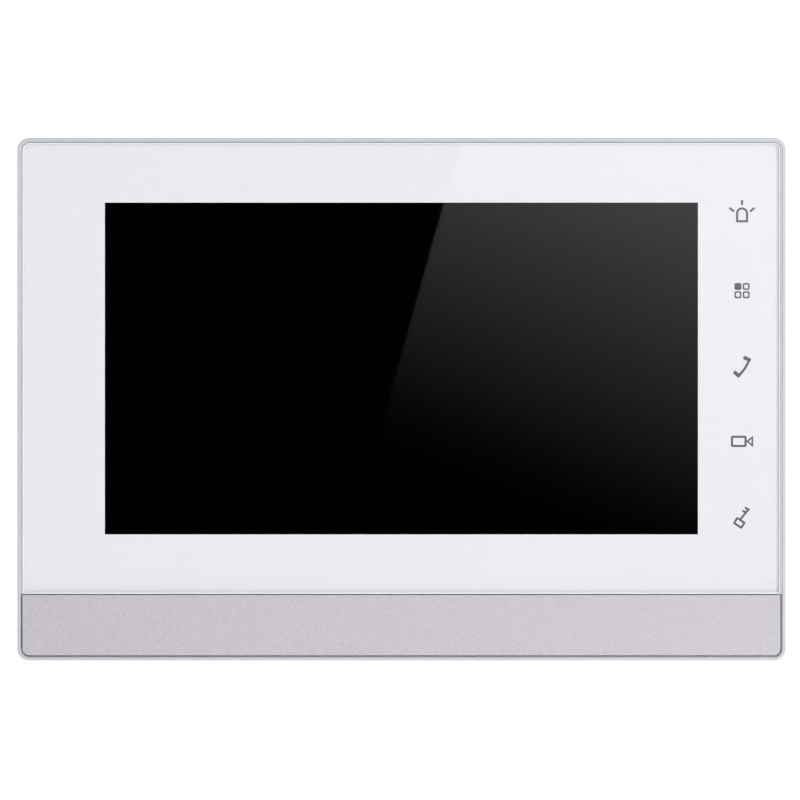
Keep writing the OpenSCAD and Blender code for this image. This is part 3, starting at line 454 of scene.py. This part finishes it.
def white_leds(slot):
    """White lamps: a yellow phosphor field in a pale case."""
    look = Look(slot, **{"Coat Weight": 0.4})
    dot = look.span(look.cells(1.1), 1, 0, 0.1, 0.5)
    look.colour(look.blend(dot, srgb(236, 235, 228), srgb(240, 222, 110)))
    look.rough(look.span(look.noise(0.5), 0.25, 0.4))
    look.bump(look.noise(0.5), 0.01)
    return look.material


LOOKS = {
    "frame_plastic": lambda s: moulded(s, srgb(205, 209, 213), 0.38, 0.3, 0.003, Metallic=0.1),
    "bar_paint": lambda s: flake_paint(s, srgb(197, 192, 199)),
    "cover_glass": lambda s: clear_sheet(s, (0.995, 0.998, 0.996), 0.04, 0.008),
    "white_ink": lambda s: printed_ink(s, (0.93, 0.907, 0.96)),
    "grey_ink": lambda s: printed_ink(s, srgb(108, 108, 114)),
    "black_foam": lambda s: cellular(s, (0.012, 0.012, 0.013), 0.9, 0.35, 0.03),
    "sensor_film": lambda s: clear_sheet(s, (0.97, 0.975, 0.97), 0.006, 0.01),
    "flex_film": lambda s: striped_cable(s, srgb(176, 112, 38), srgb(205, 140, 70), "X", 0.5),
    "clear_plastic": lambda s: clear_sheet(s, (0.93, 0.95, 0.96), 0.04, 0.08),
    "circuit_board": circuit_board,
    "led_package": white_leds,
    "flat_cable": lambda s: striped_cable(s, srgb(232, 232, 228), srgb(170, 172, 176), "Z", 1.0),
    "sheet_steel": lambda s: metal(s, srgb(196, 199, 202), 0.34, 0.3, (0.06, 1, 1)),
    "bracket_steel": lambda s: metal(s, srgb(190, 194, 199), 0.36, 0.35, (1, 1, 0.08), spangle=4.5),
    "lcd_glass": display,
    "white_plastic": lambda s: moulded(s, srgb(236, 236, 232), 0.45),
    "screw_steel": lambda s: metal(s, srgb(176, 178, 182), 0.3, 0.15, depth=0.003),
    "brass_part": lambda s: metal(s, srgb(205, 168, 92), 0.28, 0.15, (1, 0.1, 1)),
    "chip_package": lambda s: moulded(s, srgb(38, 39, 42), 0.55, 0.12, 0.008, 0.08),
    "heat_pad": lambda s: cellular(s, srgb(122, 150, 178), 0.8, 0.5, 0.02),
    "ferrite": lambda s: cellular(s, srgb(60, 60, 63), 0.75, 0.15, 0.01),
    "capacitor_can": lambda s: metal(s, srgb(206, 208, 210), 0.22, 0.12),
    "cell_can": lambda s: metal(s, srgb(212, 213, 214), 0.2, 0.2, (0.1, 1, 1)),
    "black_plastic": lambda s: moulded(s, srgb(34, 35, 38), 0.42, 0.2, 0.006, 0.06),
    "socket_plastic": lambda s: moulded(s, srgb(226, 220, 204), 0.5),
    "gold_contact": lambda s: metal(s, srgb(222, 184, 96), 0.2, 0.1),
    "green_plastic": lambda s: moulded(s, srgb(38, 136, 74), 0.42, 0.2, 0.006, 0.04),
    "speaker_paper": lambda s: cellular(s, srgb(52, 52, 54), 0.85, 0.4, 0.03),
    "red_wire": lambda s: moulded(s, srgb(172, 36, 32), 0.35, 0.4, 0.004, 0.04),
    "mic_can": lambda s: metal(s, srgb(188, 190, 193), 0.24, 0.12),
    "rubber_boot": lambda s: cellular(s, srgb(30, 30, 31), 0.75, 0.12, 0.006),
    "cover_plastic": lambda s: moulded(s, srgb(226, 227, 228), 0.5, 0.35, 0.014, 0.015),
}
MATERIALS = {}


def finish_of(slot):
    """The material of a slot, made once."""
    if slot not in MATERIALS:
        MATERIALS[slot] = LOOKS[slot](slot)
    return MATERIALS[slot]


# ---------- Pieces ----------

def adopt(piece, node):
    """The piece stands for a CAD node: same body, same slot."""
    piece.data.materials.clear()
    piece.data.materials.append(finish_of(SLOT_OF[node]))
    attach(piece, BODY_OF[node])
    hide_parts(node)
    return piece


def clean_copy(node):
    """A bmesh of a CAD node whose flat faces are whole again."""
    work = bmesh.new()
    work.from_mesh(frame["nodes"][node].data)
    bmesh.ops.remove_doubles(work, verts=work.verts, dist=0.001 * MM)
    bmesh.ops.dissolve_limit(work, angle_limit=math.radians(0.3), verts=work.verts, edges=work.edges)
    return work


# An edge is sharp when its faces meet at more than this, and shaded sharp from the other, in degrees
SHARP_EDGE = 32
SHARP_SHADING = 38


def is_sharp(edge):
    return len(edge.link_faces) == 2 and abs(edge.calc_face_angle(0)) > math.radians(SHARP_EDGE)


def round_edges(work, width, segments, chosen):
    """Rounds the sharp edges that chosen() accepts. The width is in millimetres."""
    edges = [edge for edge in work.edges if is_sharp(edge) and chosen(edge)]
    bmesh.ops.bevel(work, geom=edges, offset=width * MM, segments=segments, profile=0.5,
                    affect="EDGES", clamp_overlap=False, miter_outer="ARC", loop_slide=False)


# A face larger than this is flat
LARGE_FACE = 60 * MM * MM


def to_object(work, name):
    """A mesh object with flat faces kept flat and rounds shaded smooth."""
    mesh = bpy.data.meshes.new(name)
    for face in work.faces:
        face.smooth = face.calc_area() < LARGE_FACE
    work.to_mesh(mesh)
    work.free()
    mesh.set_sharp_from_angle(angle=math.radians(SHARP_SHADING))
    piece = link(bpy.data.objects.new(name, mesh))
    weighted = piece.modifiers.new("flat_faces", "WEIGHTED_NORMAL")
    weighted.keep_sharp = True
    return piece


# How far a point may be off a plane that it counts as being in
SLACK = 0.03 * MM


def at_depth(y):
    """Accepts edges that lie in one plane facing the front or the wall."""
    return lambda edge: all(abs(vert.co.y - y) < SLACK for vert in edge.verts)


def on_box_edges(node):
    """Accepts edges along the twelve edges of the node's box."""
    low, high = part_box(node)

    def accepts(edge):
        shared = 0
        for axis in range(3):
            for side in (low, high):
                shared += all(abs(vert.co[axis] - side[axis]) < SLACK for vert in edge.verts)
        return shared >= 2

    return accepts


def in_band(half_w, bottom, top, corner):
    """Accepts edges on the outline of a rectangle with round corners that faces the front."""
    def accepts_point(point):
        from_side = half_w - abs(point.x)
        from_end = min(top - point.z, point.z - bottom)
        if min(from_side, from_end) < -SLACK:
            return False
        in_corner = from_side < corner and from_end < corner
        return from_side < SLACK or from_end < SLACK or in_corner

    return lambda edge: all(accepts_point(vert.co) for vert in edge.verts)


# How much the edges are rounded, in millimetres
ROUNDING = {
    "front_frame": 0.22,
    "trim_bar": 0.12,
    "cover_glass": 0.28,
    "rear_cover": 0.35,
    "wall_bracket": 0.2,
    "case_screws": 0.5,
    "network_jack": 0.25,
    "alarm_header": 0.2,
    "power_header": 0.2,
    "alarm_plug": 0.2,
    "power_plug": 0.2,
}
CONNECTORS = ("network_jack", "alarm_header", "power_header", "alarm_plug", "power_plug")


def refine(node, name, segments, chosen):
    """A CAD node with the sharp edges rounded that chosen() accepts."""
    work = clean_copy(node)
    round_edges(work, ROUNDING[node], segments, chosen)
    return adopt(to_object(work, name), node)


def paint_kept_nodes(replaced):
    for name, node in frame["nodes"].items():
        if name in replaced:
            continue
        node.data.materials.clear()
        node.data.materials.append(finish_of(SLOT_OF[name]))


def make_front():
    """The lip, the glass and the bar have soft front edges; the glass has a ground rim with a painted
    glow.
    """
    refine("front_frame", "front_frame_shell", 3, at_depth(FRONT_Y))
    refine("trim_bar", "trim_bar_shell", 3, at_depth(FRONT_Y))
    glass = refine("cover_glass", "cover_glass_sheet", 3, at_depth(FRONT_Y))
    # The rim's material carries a painted glow, an emission that stands in for light
    glass.data.materials.append(ground_rim_painted_glow())
    for face in glass.data.polygons:
        face.material_index = 0 if abs(face.normal.y) > 0.99 else 1
    return ["front_frame", "trim_bar", "cover_glass"]


# The rear cover's bevel, the room that its recess leaves round the bracket, and their corner radii
COVER_BEVEL = 4 * MM
RECESS_ROOM = 2 * MM
RECESS_TOP_ROOM = 1 * MM
RECESS_LOW_ROOM = 7 * MM
RECESS_CORNER = 3.1 * MM
PLATE_CORNER = 4.1 * MM
# The facets of a screw head's rim are shorter than this, the edges of its cross longer
SHORT_EDGE = 0.45 * MM


def make_back():
    """The cover has a soft rim and recess, the bracket a soft outline, the screws domed heads."""
    cover_low, cover_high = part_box("rear_cover")
    plate_low, plate_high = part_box("wall_bracket")
    on_back = at_depth(cover_high.y)
    mouth_low = plate_low.z - RECESS_LOW_ROOM
    mouth_top = plate_high.z + RECESS_TOP_ROOM
    mouth = in_band(plate_high.x + RECESS_ROOM, mouth_low, mouth_top, RECESS_CORNER)
    rim = in_band(cover_high.x - COVER_BEVEL, cover_low.z + COVER_BEVEL, cover_high.z - COVER_BEVEL, 0)
    outline = in_band(plate_high.x, plate_low.z, plate_high.z, PLATE_CORNER)
    screw_top = at_depth(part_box("case_screws")[1].y)

    def on_cover(edge):
        return on_back(edge) and (mouth(edge) or rim(edge))

    def on_screw_head(edge):
        return screw_top(edge) and edge.calc_length() < SHORT_EDGE

    refine("rear_cover", "rear_cover_shell", 3, on_cover)
    refine("wall_bracket", "wall_bracket_plate", 2, outline)
    refine("case_screws", "case_screw_set", 4, on_screw_head)
    return ["rear_cover", "wall_bracket", "case_screws"]


def make_connectors():
    """Sockets and plugs have soft outer edges."""
    for node in CONNECTORS:
        refine(node, node + "_body", 2, on_box_edges(node))
    return list(CONNECTORS)


make_camera()
make_world()
make_lights()
make_floor()
make_glare_card()
replaced_nodes = make_front() + make_back() + make_connectors()
paint_kept_nodes(replaced_nodes)
bpy.context.scene.view_settings.view_transform = "Standard"
